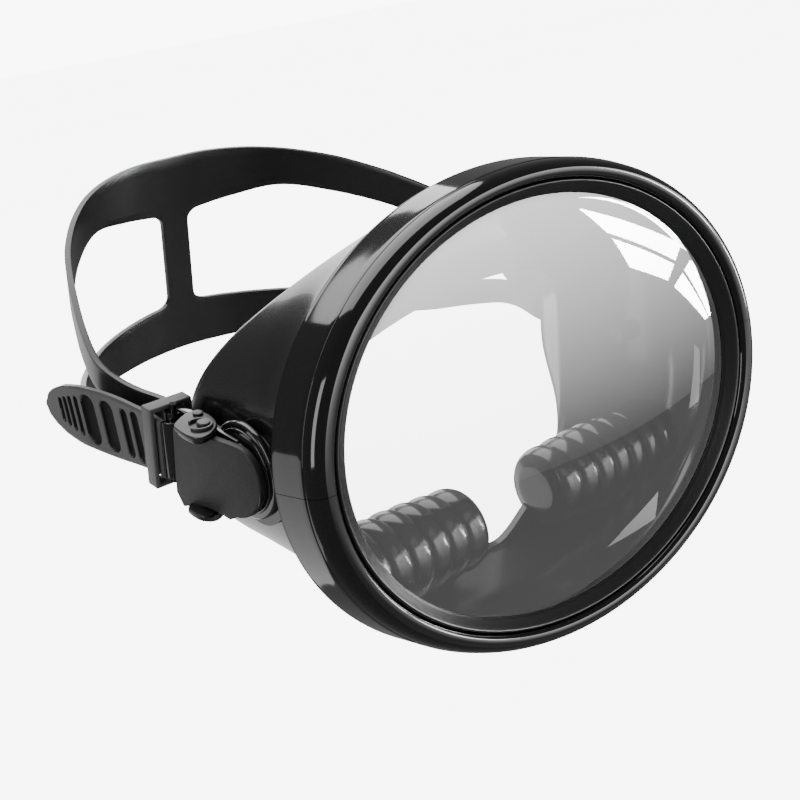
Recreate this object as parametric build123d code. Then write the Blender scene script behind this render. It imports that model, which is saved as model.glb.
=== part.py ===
from build123d import *
import math
import os

# Single-window diving mask with a moulded skirt, nose bellows and a head strap.
# Millimetres. +X to the right of someone facing the lens, +Y towards the wearer's
# head, +Z up. The origin is the middle of the face seal, where the face holds the mask.

# ---- lens and rim ----------------------------------------------------------------
LENS_Y = -60.0                  # plane of the lens edge, in front of the face seal
WINDOW = (74.2, 58.2)           # half width and half height of the clear window
RIM_ASPECT = 0.76               # growth in half height per mm of growth in half width
LENS_THICKNESS = 3.5
LENS_EDGE = 3.0                 # flat edge of the lens, beyond the window
DOME_HEIGHT = 8.0               # how far the middle of the lens stands forward
BEZEL_OUT = 4.8                 # bezel ring's outer edge, beyond the window
RIM_FRONT_Y = -64.6             # flat crest of the rim
RIM_BACK_Y = -47.0
SEAM_Z = 2.0                    # the two rim halves meet here at both sides
SEAM_GAP = 0.1
DOWEL_RADIUS = 1.2
DOWEL_REACH = 5.0               # into each rim half
FIT_GAP = 0.1                   # between pieces clamped in the rim

# ---- skirt -----------------------------------------------------------------------
# y, half width, half height, height of the centre of each oval
SKIRT_SECTIONS = [
    (-54.0, 78.8, 61.6, 0.0),
    (-50.5, 84.2, 65.2, 0.0),
    (-46.0, 83.6, 64.6, 0.0),
    (-36.5, 75.8, 61.0, 1.3),
    (-10.0, 73.8, 55.0, 4.0),
    (26.0, 72.0, 50.0, 7.0),
]
SKIRT_WALL = 2.2
HEAD_RADIUS = 79.0              # the face, as a cylinder leaning forward at the top
HEAD_AXIS_Y = 49.5
HEAD_LEAN = 9.5
FLANGE_THICKNESS = 1.8
FACE_OPENING = (55.0, 38.0)     # half width and half height of the hole for the face
FACE_OPENING_Z = -3.0
NOSE_NOTCH_RADIUS = 17.0
NOSE_NOTCH_Z = -31.0

# ---- nose bellows ----------------------------------------------------------------
BELLOWS_Y = -34.0
BELLOWS_Z = -35.0
BELLOWS_TIP_X = 14.0
BELLOWS_RIB_PITCH = 6.6
BELLOWS_RIBS = 7
BELLOWS_TIP_RADIUS = 9.5
BELLOWS_ROOT_RADIUS = 15.0
BELLOWS_WALL = 1.5
BELLOWS_RIB_DEPTH = 1.2
WELL_GAP = 0.4                  # between a bellows and the edge of its finger well

# ---- harness: swivel, buckles and strap, set back along its own tilted axes -----------
SWIVEL_Y = -21.4
SWIVEL_Z = -1.85
HARNESS_TILT = 14.0             # the strap rises towards the back of the head
BOSS_FACE_X = 76.5
BOSS_RADIUS = 13.0
STUD_RADIUS = 5.0
STUD_SHANK_RADIUS = 3.0
STUD_HEAD_RADIUS = 7.5
BASE_X = (76.8, 79.0)
BASE_RADIUS = 15.2
RUN_GAP = 0.05                  # running fit of pins in bores
CLEAR = 0.35                    # free gap between pieces that move past each other
PIN_X = 82.0
PIN_Y = 14.0
PIN_RADIUS = 1.75
EAR_Z = (11.4, 13.2)
COVER_FACE_X = 85.6
COVER_SKIN = 1.4
COVER_Y = (-13.2, 26.8)
COVER_HALF_HEIGHT = 11.0
COVER_FRONT_LENGTH = 15.0        # of the half oval at its front
ROLLER_X = 81.0
ROLLER_Y = 32.6
ROLLER_RADIUS = 2.6
AXLE_RADIUS = 1.1
KEEPER_Y = (35.6, 40.4)
KEEPER_X = (73.6, 87.8)
KEEPER_HALF_HEIGHT = 12.6
KEEPER_WALL = 1.5

STRAP_THICKNESS = 2.0
STRAP_HALF_WIDTH = 9.5
STRAP_STEPS = 20
# half of the strap seen from above, from the middle to its straight end: x, distance
# behind the swivel
STRAP_PLAN = [(0.0, 156.5), (22.0, 153.0), (43.0, 141.5), (63.0, 119.0), (76.5, 92.0),
              (83.0, 72.0), (82.0, 60.0), (77.1, 45.0)]
# distance behind the swivel, upper edge, lower edge of the band
STRAP_EDGES = [(44.0, 9.5, -9.5), (62.0, 12.5, -11.5), (79.0, 20.0, -16.5), (97.0, 27.0, -21.5),
               (113.0, 31.0, -25.0), (131.0, 36.5, -29.0), (147.0, 40.5, -32.0), (162.0, 42.0, -33.0)]
# the same for the window between the two bands
WINDOW_EDGES = [(62.0, 3.0, -3.0), (76.0, 8.0, -6.0), (95.0, 13.5, -10.0), (113.0, 18.0, -13.5),
                (131.0, 22.0, -16.0), (142.0, 25.0, -17.5), (152.0, 22.5, -17.0), (165.0, 20.5, -16.0)]
STRAP_BAR_HALF = 5.5            # half width of the bar between the two windows
TAIL_PLAN = [(84.9, 32.6), (85.2, 41.0), (88.0, 56.0), (91.5, 70.0), (94.5, 84.5)]
TAIL_HALF_WIDTHS = [8.8, 8.8, 9.6, 9.4, 4.5]


# ---- shared shapes ---------------------------------------------------------------
def section_plane(y, z=0.0):
    """Plane across the mask: its x is X, its y is Z."""
    return Plane(origin=(0, y, z), x_dir=(1, 0, 0), z_dir=(0, -1, 0))


def rim_oval(grow, y):
    """Window outline grown by a distance, at a depth."""
    return section_plane(y) * Ellipse(WINDOW[0] + grow, WINDOW[1] + RIM_ASPECT * grow)


def stack(profile):
    """Solid through window outlines: profile is growth, depth."""
    return loft([rim_oval(grow, y) for grow, y in profile], ruled=True)


def skirt_body(inset):
    """Inside or outside of the skirt's wall, as a solid."""
    sections = [section_plane(y, cz) * Ellipse(a - inset, b - inset) for y, a, b, cz in SKIRT_SECTIONS]
    return loft(sections, ruled=True)


def tube_x(radius, x0, x1, y, z, hole=0.0):
    """Cylinder or tube along X."""
    at = Plane(origin=(x0, y, z), x_dir=(0, 1, 0), z_dir=(1, 0, 0))
    face = Circle(radius) - Circle(hole) if hole else Circle(radius)
    return extrude(at * face, amount=x1 - x0)


def tube_z(radius, x, y, z0, z1, hole=0.0):
    """Cylinder or tube along Z."""
    face = Circle(radius) - Circle(hole) if hole else Circle(radius)
    return extrude(Plane(origin=(x, y, z0)) * face, amount=z1 - z0)


def block(x, y, z):
    """Box between low and high corners, each given as a pair."""
    box = Box(x[1] - x[0], y[1] - y[0], z[1] - z[0])
    return Pos((x[0] + x[1]) / 2, (y[0] + y[1]) / 2, (z[0] + z[1]) / 2) * box


HARNESS = Location((0, SWIVEL_Y, SWIVEL_Z), (HARNESS_TILT, 0, 0))
parts = {}


def both_sides(name, shape):
    """A piece of the right-hand buckle, and its mirror image."""
    parts[name + "_right"] = shape
    parts[name + "_left"] = mirror(shape, about=Plane.YZ)


# ---- lens, bezel, gasket and rim -----------------------------------------------------
def bulge_point(dome_r, sphere_r, top):
    """Point half way along a dome's arc."""
    half = dome_r / 2
    return (half, top + sphere_r - math.sqrt(sphere_r**2 - half**2))


def make_lens():
    """Clear dome on a flat edge: turned round, then narrowed to the oval."""
    edge_r = WINDOW[0] + LENS_EDGE
    dome_r = WINDOW[0] - 0.2
    sphere_r = (dome_r**2 + DOME_HEIGHT**2) / (2 * DOME_HEIGHT)
    top = LENS_Y - DOME_HEIGHT
    with BuildPart() as lens:
        with BuildSketch(Plane.XY):
            with BuildLine():
                front = ThreePointArc((0, top), bulge_point(dome_r, sphere_r, top), (dome_r, LENS_Y))
                Line(front @ 1, (edge_r, LENS_Y))
                Line((edge_r, LENS_Y), (edge_r, LENS_Y + LENS_THICKNESS))
                Line((edge_r, LENS_Y + LENS_THICKNESS), (dome_r, LENS_Y + LENS_THICKNESS))
                back = top + LENS_THICKNESS
                ThreePointArc((dome_r, LENS_Y + LENS_THICKNESS),
                              bulge_point(dome_r, sphere_r, back), (0, back))
                Line((0, back), (0, top))
            make_face()
        revolve(axis=Axis.Y)
    return scale(lens.part, by=(1, 1, (WINDOW[1] + RIM_ASPECT * LENS_EDGE) / edge_r))


def make_rim():
    """Both halves in one: a rounded ring with a channel for the lens and a throat for the skirt."""
    outside = [(13.0, RIM_BACK_Y), (12.7, -55.0), (12.2, -60.4), (11.2, -62.6), (9.6, -64.0),
               (8.0, RIM_FRONT_Y)]
    channel = [(BEZEL_OUT, -53.9), (BEZEL_OUT, -63.0), (6.2, RIM_FRONT_Y)]
    throat = [(BEZEL_OUT, -54.2), (10.7, -50.6), (10.7, RIM_BACK_Y)]
    # blocks that thicken the rim at its two joints, for the dowels
    lug = block((84.0, 87.4), (-60.0, -52.0), (SEAM_Z - 6, SEAM_Z + 6))
    return stack(outside) - stack(channel) - stack(throat) + (lug + mirror(lug, about=Plane.YZ))


rim = make_rim()
dowel = tube_z(DOWEL_RADIUS, 83.6, -58.0, SEAM_Z - DOWEL_REACH, SEAM_Z + DOWEL_REACH)
dowels = dowel + mirror(dowel, about=Plane.YZ)
rim -= dowels
parts["rim_upper"] = rim & block((-120, 120), (-90, 0), (SEAM_Z + SEAM_GAP / 2, 120))
parts["rim_lower"] = rim & block((-120, 120), (-90, 0), (-120, SEAM_Z - SEAM_GAP / 2))
parts["rim_dowels"] = dowels
parts["lens"] = make_lens()
clamped = BEZEL_OUT - FIT_GAP
parts["lens_bezel"] = (stack([(clamped, LENS_Y - FIT_GAP), (clamped, -62.2), (4.0, -63.2)])
                       - stack([(0.0, LENS_Y + 1), (0.0, LENS_Y - 0.6), (3.4, -63.4)]))
lens_seat = stack([(LENS_EDGE + FIT_GAP, LENS_Y - 1),
                   (LENS_EDGE + FIT_GAP, LENS_Y + LENS_THICKNESS + FIT_GAP)])
parts["lens_gasket"] = (stack([(clamped, LENS_Y), (clamped, -54.2)]) - lens_seat
                        - stack([(0.5, LENS_Y), (0.5, -54.0)]))


# ---- skirt -----------------------------------------------------------------------
def head_cylinder(radius):
    """The wearer's face, as an upright cylinder that leans forward at the top."""
    at = Plane(origin=(0, HEAD_AXIS_Y, 0)).rotated((HEAD_LEAN, 0, 0))
    return extrude(at * Circle(radius), amount=120, both=True)


def make_skirt():
    """Wall with an inward flange that follows the face, open for the face and the nose."""
    outer = skirt_body(0.0)
    inner = skirt_body(SKIRT_WALL)
    mouth = stack([(0.5, -55.0), (0.5, -52.0)])
    head = head_cylinder(HEAD_RADIUS)
    flange = (head_cylinder(HEAD_RADIUS + FLANGE_THICKNESS) - head) & outer
    wells = Part()
    for side in (1, -1):
        x0, x1 = sorted((side * (BELLOWS_TIP_X - 8), side * 90.0))
        wells += tube_x(BELLOWS_ROOT_RADIUS + WELL_GAP, x0, x1, BELLOWS_Y, BELLOWS_Z)
    opening = Pos(0, 0, FACE_OPENING_Z) * section_plane(0) * Ellipse(*FACE_OPENING)
    notch = Pos(0, 0, NOSE_NOTCH_Z) * section_plane(0) * Circle(NOSE_NOTCH_RADIUS)
    hole = extrude(opening + notch, amount=45, both=True)
    skirt = (outer - inner - mouth - head) + (flange - hole)
    stud = tube_x(STUD_SHANK_RADIUS, 60.0, 90.0, SWIVEL_Y, SWIVEL_Z)
    return skirt - wells - stud - mirror(stud, about=Plane.YZ)


parts["skirt"] = make_skirt()


def make_bellows():
    """Ribbed cup, closed by a flat disc beside the nose, open outwards for a finger."""
    shape = Part()
    hollow = Part()
    for rib in range(BELLOWS_RIBS):
        grow = min(rib / (BELLOWS_RIBS - 3), 1.0)
        radius = BELLOWS_TIP_RADIUS + grow * (BELLOWS_ROOT_RADIUS - BELLOWS_TIP_RADIUS)
        x0 = BELLOWS_TIP_X + rib * BELLOWS_RIB_PITCH
        shape += tube_x(radius, x0, x0 + 0.6 * BELLOWS_RIB_PITCH, BELLOWS_Y, BELLOWS_Z)
        shape += tube_x(radius - BELLOWS_RIB_DEPTH, x0, x0 + BELLOWS_RIB_PITCH, BELLOWS_Y, BELLOWS_Z)
        hollow_x = max(x0, BELLOWS_TIP_X + BELLOWS_WALL)
        hollow += tube_x(radius - BELLOWS_RIB_DEPTH - BELLOWS_WALL, hollow_x, 90.0, BELLOWS_Y, BELLOWS_Z)
    return (shape - hollow) & skirt_body(0.0)


both_sides("nose_bellows", make_bellows())


# ---- swivels and buckles ---------------------------------------------------------------
def in_harness(shape):
    """Moves a piece from the harness's own axes to its place on the mask."""
    return HARNESS * shape


def make_boss():
    """Pad moulded on the side of the skirt, under the swivel plate."""
    pad = tube_x(BOSS_RADIUS, 70.0, BOSS_FACE_X, SWIVEL_Y, SWIVEL_Z, hole=STUD_SHANK_RADIUS)
    return pad - skirt_body(0.0)


def make_stud():
    """Rivet through the pad: an inner head, a shank, and the journal and head outside."""
    stud = tube_x(STUD_SHANK_RADIUS, 68.0, BOSS_FACE_X, SWIVEL_Y, SWIVEL_Z)
    stud += tube_x(STUD_RADIUS, BOSS_FACE_X, BASE_X[1] + CLEAR, SWIVEL_Y, SWIVEL_Z)
    return stud + tube_x(STUD_HEAD_RADIUS, BASE_X[1] + CLEAR, BASE_X[1] + CLEAR + 1.4, SWIVEL_Y, SWIVEL_Z)


both_sides("swivel_boss", make_boss())
both_sides("swivel_stud", make_stud())


def make_base():
    """Round swivel plate, an arm to the rear, two ears for the pin and two rails."""
    plate = tube_x(BASE_RADIUS, BASE_X[0], BASE_X[1], 0, 0)
    plate += block(BASE_X, (0, 27.0), (-EAR_Z[1], EAR_Z[1]))
    plate -= tube_x(STUD_RADIUS + RUN_GAP, 60, 90, 0, 0)
    for side in (1, -1):
        z = sorted((side * EAR_Z[0], side * EAR_Z[1]))
        plate += block((BASE_X[0], PIN_X), (PIN_Y - 3.6, PIN_Y + 3.6), z)
        plate += tube_z(3.6, PIN_X, PIN_Y, *z)
        plate += block((BASE_X[0], 83.4), (PIN_Y + 3, KEEPER_Y[0]), z)
    plate -= tube_z(PIN_RADIUS, PIN_X, PIN_Y, -20, 20)
    return plate - tube_z(AXLE_RADIUS, ROLLER_X, ROLLER_Y, -20, 20)


def cover_outline(shrink):
    """Letter D: straight at the rear, a half oval at the front."""
    half = COVER_HALF_HEIGHT - shrink
    front_length = COVER_FRONT_LENGTH - shrink
    middle = COVER_Y[0] + COVER_FRONT_LENGTH
    rear = COVER_Y[1] - shrink
    with BuildSketch(Plane(origin=(0, 0, 0), x_dir=(0, 1, 0), z_dir=(1, 0, 0))) as sketch:
        with BuildLine():
            Line((middle, half), (rear - 1.5, half))
            Line((rear - 1.5, half), (rear, half - 1.5))
            Line((rear, half - 1.5), (rear, 1.5 - half))
            Line((rear, 1.5 - half), (rear - 1.5, -half))
            Line((rear - 1.5, -half), (middle, -half))
            EllipticalCenterArc((middle, 0), front_length, half, start_angle=90, arc_size=180)
        make_face()
    return sketch.sketch


def make_cover():
    """Hollow lever that rocks on the hinge pin."""
    shell = extrude(Pos(PIN_X, 0, 0) * cover_outline(0.0), amount=COVER_FACE_X - PIN_X)
    shell -= extrude(Pos(PIN_X - 1, 0, 0) * cover_outline(COVER_SKIN),
                     amount=COVER_FACE_X - COVER_SKIN - PIN_X + 1)
    barrel = tube_z(3.0, PIN_X, PIN_Y, -COVER_HALF_HEIGHT, COVER_HALF_HEIGHT)
    barrel += block((PIN_X, COVER_FACE_X - 0.5), (PIN_Y - 2, PIN_Y + 2),
                    (-COVER_HALF_HEIGHT, COVER_HALF_HEIGHT))
    return shell + barrel - tube_z(PIN_RADIUS + RUN_GAP, PIN_X, PIN_Y, -20, 20)


def make_keeper():
    """Frame round the strap and its free end."""
    loop = block(KEEPER_X, KEEPER_Y, (-KEEPER_HALF_HEIGHT, KEEPER_HALF_HEIGHT))
    inside_x = (KEEPER_X[0] + KEEPER_WALL, KEEPER_X[1] - KEEPER_WALL)
    inside_z = KEEPER_HALF_HEIGHT - KEEPER_WALL
    return loop - block(inside_x, (0, 60), (-inside_z, inside_z))


both_sides("buckle_base", in_harness(make_base()))
both_sides("release_cover", in_harness(make_cover()))
both_sides("cover_pin", in_harness(tube_z(PIN_RADIUS, PIN_X, PIN_Y, -14.6, 14.0)
                                   + tube_z(2.6, PIN_X, PIN_Y, EAR_Z[1], 14.0)))
both_sides("strap_roller", in_harness(tube_z(ROLLER_RADIUS, ROLLER_X, ROLLER_Y, -10.9, 10.9,
                                             hole=AXLE_RADIUS + RUN_GAP)))
both_sides("roller_axle", in_harness(tube_z(AXLE_RADIUS, ROLLER_X, ROLLER_Y, -EAR_Z[1], EAR_Z[1])))
both_sides("strap_keeper", in_harness(make_keeper()))


# ---- strap -----------------------------------------------------------------------
def station(plan, place, thickness, upper, lower):
    """Upright rectangle across the strap at a fraction of its plan curve."""
    here = plan.position_at(place)
    along = plan.tangent_at(place)
    across = Vector(along.Y, -along.X, 0)
    at = Plane(origin=(here.X, here.Y, (upper + lower) / 2), x_dir=across, z_dir=along)
    return at * Rectangle(thickness, upper - lower)


def side_profile(edges, x0, x1):
    """Block along X whose upper and lower faces follow a table of edges."""
    outline = [(y, up) for y, up, low in edges] + [(y, low) for y, up, low in edges[::-1]]
    at = Plane(origin=(x0, 0, 0), x_dir=(0, 1, 0), z_dir=(1, 0, 0))
    return extrude(at * Polygon(*outline, align=None), amount=x1 - x0, dir=(1, 0, 0))


def band_plan():
    """The band's thickness seen from above, as a face."""
    left = [(-x, y) for x, y in STRAP_PLAN[:0:-1]]
    plan = Spline(left + STRAP_PLAN, tangents=[(0, 1), (0, -1)])
    rows = []
    for side in (1, -1):
        row = []
        for k in range(STRAP_STEPS + 1):
            here, along = plan.position_at(k / STRAP_STEPS), plan.tangent_at(k / STRAP_STEPS)
            row.append(here + Vector(along.Y, -along.X, 0) * (side * STRAP_THICKNESS / 2))
        rows.append(row)
    inner, outer = Spline(rows[0]), Spline(rows[1])
    ends = [Line(rows[0][0], rows[1][0]), Line(rows[0][-1], rows[1][-1])]
    return make_face([inner, outer] + ends)


def make_strap():
    """Band round the back of the head, with a window each side of the middle bar."""
    band = extrude(Pos(0, 0, -50) * band_plan(), amount=100)
    band &= side_profile(STRAP_EDGES, -120, 120)
    end_x, end_y = STRAP_PLAN[-1]
    strand = block((end_x - STRAP_THICKNESS / 2, end_x + STRAP_THICKNESS / 2),
                   (ROLLER_Y, end_y + 0.05), (-STRAP_HALF_WIDTH, STRAP_HALF_WIDTH))
    window = side_profile(WINDOW_EDGES, STRAP_BAR_HALF, 120)
    return band + strand + mirror(strand, about=Plane.YZ) - window - mirror(window, about=Plane.YZ)


def make_tail():
    """Free end: half a turn round the roller, then back outside the band."""
    plan = Spline(TAIL_PLAN, tangents=[(0, 1), (0.2, 1)])
    last = len(TAIL_HALF_WIDTHS) - 1
    tail = loft([station(plan, k / last, STRAP_THICKNESS, half, -half)
                 for k, half in enumerate(TAIL_HALF_WIDTHS)])
    inner = ROLLER_RADIUS + CLEAR
    turn = Circle(inner + STRAP_THICKNESS) - Circle(inner)
    turn -= Pos(0, 10) * Rectangle(30, 20)
    loop = extrude(Plane(origin=(ROLLER_X, ROLLER_Y, -8.8)) * turn, amount=17.6)
    return tail + loop


parts["head_strap"] = in_harness(make_strap())
both_sides("strap_tail", in_harness(make_tail()))

os.makedirs("parts", exist_ok=True)
for name, shape in parts.items():
    export_step(shape, f"parts/{name}.step")
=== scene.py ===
import math

import bmesh
import bpy
from mathutils import Euler, Matrix, Vector


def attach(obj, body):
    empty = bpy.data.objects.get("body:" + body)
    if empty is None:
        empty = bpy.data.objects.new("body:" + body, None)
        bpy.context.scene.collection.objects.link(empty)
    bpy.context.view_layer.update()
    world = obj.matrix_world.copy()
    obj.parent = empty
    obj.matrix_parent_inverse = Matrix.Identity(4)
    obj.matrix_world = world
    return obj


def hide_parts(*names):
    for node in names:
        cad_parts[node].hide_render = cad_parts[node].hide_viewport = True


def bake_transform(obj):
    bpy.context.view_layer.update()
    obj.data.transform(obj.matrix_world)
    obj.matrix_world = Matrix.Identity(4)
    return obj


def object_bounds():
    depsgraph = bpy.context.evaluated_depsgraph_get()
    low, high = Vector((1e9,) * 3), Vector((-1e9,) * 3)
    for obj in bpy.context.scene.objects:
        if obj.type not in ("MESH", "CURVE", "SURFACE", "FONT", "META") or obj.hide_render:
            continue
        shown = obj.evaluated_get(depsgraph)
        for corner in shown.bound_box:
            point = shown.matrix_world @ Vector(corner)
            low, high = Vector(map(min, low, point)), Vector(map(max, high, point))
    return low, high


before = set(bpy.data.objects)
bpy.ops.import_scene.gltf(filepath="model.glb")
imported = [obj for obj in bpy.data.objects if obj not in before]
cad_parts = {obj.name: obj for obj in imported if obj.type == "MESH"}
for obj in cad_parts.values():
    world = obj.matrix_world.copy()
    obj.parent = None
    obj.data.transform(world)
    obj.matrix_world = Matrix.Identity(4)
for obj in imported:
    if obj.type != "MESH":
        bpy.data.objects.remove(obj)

CAD_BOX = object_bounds()
MM = 0.001
SIDES = (("right", 1), ("left", -1))

# ---- dimensions in millimetres, in the frame of the CAD model ---------------------------
WINDOW_X, WINDOW_Z = 74.2, 58.2
RIM_ASPECT = 0.76
LENS_Y, LENS_THICKNESS, DOME_HEIGHT = -60.0, 3.5, 8.0
SEAM_Z = 2.0
SWIVEL = Vector((0, -21.4, -1.85))
HARNESS_TILT = math.radians(14)
HARNESS = Matrix.Translation(SWIVEL) @ Matrix.Rotation(HARNESS_TILT, 4, "X")
PLAIN = Matrix.Identity(4)


# ---- mesh helpers --------------------------------------------------------------------
def add_mesh(name, verts, faces, place=PLAIN, side=1):
    """Mesh object from millimetre points; side -1 mirrors it to the left."""
    points = []
    for v in verts:
        p = place @ Vector(v)
        points.append((side * p.x * MM, p.y * MM, p.z * MM))
    if side < 0:
        faces = [tuple(reversed(f)) for f in faces]
    mesh = bpy.data.meshes.new(name)
    mesh.from_pydata(points, [], faces)
    mesh.validate()
    mesh.polygons.foreach_set("use_smooth", [True] * len(mesh.polygons))
    piece = bpy.data.objects.new(name, mesh)
    bpy.context.scene.collection.objects.link(piece)
    return piece


def apply_modifiers(piece):
    """Puts the result of the modifiers into the mesh."""
    graph = bpy.context.evaluated_depsgraph_get()
    mesh = bpy.data.meshes.new_from_object(piece.evaluated_get(graph))
    piece.modifiers.clear()
    piece.data = mesh
    return piece


def outward(piece):
    """Turns all the normals outwards."""
    work = bmesh.new()
    work.from_mesh(piece.data)
    bmesh.ops.remove_doubles(work, verts=work.verts, dist=0.000002)
    bmesh.ops.recalc_face_normals(work, faces=work.faces)
    work.to_mesh(piece.data)
    work.free()
    return piece


def smooth_by_angle(piece, degrees=40):
    """Shades smooth, with sharp edges where faces meet at more than an angle."""
    limit = math.radians(degrees)
    work = bmesh.new()
    work.from_mesh(piece.data)
    for edge in work.edges:
        edge.smooth = len(edge.link_faces) == 2 and edge.calc_face_angle(0.0) < limit
    for face in work.faces:
        face.smooth = True
    work.to_mesh(piece.data)
    work.free()
    return piece


def grid_faces(rows, columns, wrap_rows=False, wrap_columns=False):
    faces = []
    for r in range(rows if wrap_rows else rows - 1):
        for c in range(columns if wrap_columns else columns - 1):
            r2, c2 = (r + 1) % rows, (c + 1) % columns
            faces.append((r * columns + c, r * columns + c2, r2 * columns + c2, r2 * columns + c))
    return faces


def curve_through(points, steps, closed=False):
    """Catmull-Rom curve: steps points for each span."""
    count = len(points)
    result = []
    for k in range(count if closed else count - 1):
        if closed:
            rows = [points[(k + d) % count] for d in (-1, 0, 1, 2)]
        else:
            rows = [points[max(k - 1, 0)], points[k], points[k + 1], points[min(k + 2, count - 1)]]
        for s in range(steps):
            t = s / steps
            result.append(tuple(
                b + 0.5 * t * (c - a + t * (2 * a - 5 * b + 4 * c - d + t * (3 * (b - c) + d - a)))
                for a, b, c, d in zip(*rows)))
    if not closed:
        result.append(tuple(points[-1]))
    return result


def table_at(table, key):
    """Row of a table at a value of its first column, smoothly interpolated."""
    for k in range(len(table) - 1):
        if key <= table[k + 1][0] or k == len(table) - 2:
            t = (key - table[k][0]) / (table[k + 1][0] - table[k][0])
            t = min(max(t, 0.0), 1.0)
            rows = [table[max(k - 1, 0)], table[k], table[k + 1], table[min(k + 2, len(table) - 1)]]
            return [b + 0.5 * t * (c - a + t * (2 * a - 5 * b + 4 * c - d + t * (3 * (b - c) + d - a)))
                    for a, b, c, d in zip(*[row[1:] for row in rows])]


def smoothstep(low, high, value):
    t = min(max((value - low) / (high - low), 0.0), 1.0)
    return t * t * (3 - 2 * t)


# ---- materials -------------------------------------------------------------------------
TINT_SPREAD, GLOSS_SPREAD = 0.25, 0.12


def rubber_or_plastic(name, colour, roughness, grain=0.0, grain_scale=900.0, coat=0.0):
    """Moulded surface: slow colour and gloss variation, and a fine grain in its normal."""
    material = bpy.data.materials.new(name)
    material.use_nodes = True
    nodes, links = material.node_tree.nodes, material.node_tree.links
    shader = nodes["Principled BSDF"]
    place = nodes.new("ShaderNodeTexCoord")
    slow = nodes.new("ShaderNodeTexNoise")
    slow.inputs["Scale"].default_value = 28.0
    slow.inputs["Detail"].default_value = 5.0
    links.new(place.outputs["Object"], slow.inputs["Vector"])
    tint = nodes.new("ShaderNodeValToRGB")
    tint.color_ramp.elements[0].position, tint.color_ramp.elements[1].position = 0.3, 0.75
    dark = [c * (1 - TINT_SPREAD) for c in colour]
    tint.color_ramp.elements[0].color = (*dark, 1)
    tint.color_ramp.elements[1].color = (*colour, 1)
    links.new(slow.outputs["Fac"], tint.inputs["Fac"])
    links.new(tint.outputs["Color"], shader.inputs["Base Color"])
    gloss = nodes.new("ShaderNodeMapRange")
    gloss.inputs["To Min"].default_value = roughness * (1 - GLOSS_SPREAD)
    gloss.inputs["To Max"].default_value = roughness * (1 + GLOSS_SPREAD)
    links.new(slow.outputs["Fac"], gloss.inputs["Value"])
    links.new(gloss.outputs["Result"], shader.inputs["Roughness"])
    fine = nodes.new("ShaderNodeTexNoise")
    fine.inputs["Scale"].default_value = grain_scale
    fine.inputs["Detail"].default_value = 3.0
    links.new(place.outputs["Object"], fine.inputs["Vector"])
    bump = nodes.new("ShaderNodeBump")
    bump.inputs["Strength"].default_value = grain
    bump.inputs["Distance"].default_value = 0.0002
    links.new(fine.outputs["Fac"], bump.inputs["Height"])
    links.new(bump.outputs["Normal"], shader.inputs["Normal"])
    shader.inputs["Coat Weight"].default_value = coat
    shader.inputs["Coat Roughness"].default_value = 0.03
    return material


def lens_material():
    """Clear pane: what lies behind shows through, and its outer face adds a faint reflection."""
    material = bpy.data.materials.new("lens_clear")
    material.use_nodes = True
    nodes, links = material.node_tree.nodes, material.node_tree.links
    nodes.remove(nodes["Principled BSDF"])
    clear = nodes.new("ShaderNodeBsdfTransparent")
    mirror = nodes.new("ShaderNodeBsdfGlossy")
    film = nodes.new("ShaderNodeTexNoise")
    film.inputs["Scale"].default_value = 9.0
    place = nodes.new("ShaderNodeTexCoord")
    links.new(place.outputs["Object"], film.inputs["Vector"])
    haze = nodes.new("ShaderNodeMapRange")
    haze.inputs["To Min"].default_value = 0.008
    haze.inputs["To Max"].default_value = 0.020
    links.new(film.outputs["Fac"], haze.inputs["Value"])
    links.new(haze.outputs["Result"], mirror.inputs["Roughness"])
    facing = nodes.new("ShaderNodeLayerWeight")
    facing.inputs["Blend"].default_value = 0.35
    sheet = nodes.new("ShaderNodeNewGeometry")
    share = nodes.new("ShaderNodeMapRange")
    share.inputs["To Min"].default_value = 0.22
    share.inputs["To Max"].default_value = 0.55
    links.new(facing.outputs["Fresnel"], share.inputs["Value"])
    front = nodes.new("ShaderNodeMath")
    front.operation = "SUBTRACT"
    front.inputs[0].default_value = 1.0
    links.new(sheet.outputs["Backfacing"], front.inputs[1])
    factor = nodes.new("ShaderNodeMath")
    factor.operation = "MULTIPLY"
    links.new(share.outputs["Result"], factor.inputs[0])
    links.new(front.outputs["Value"], factor.inputs[1])
    mix = nodes.new("ShaderNodeMixShader")
    links.new(factor.outputs["Value"], mix.inputs["Fac"])
    links.new(clear.outputs["BSDF"], mix.inputs[1])
    links.new(mirror.outputs["BSDF"], mix.inputs[2])
    links.new(mix.outputs["Shader"], nodes["Material Output"].inputs["Surface"])
    return material


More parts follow.
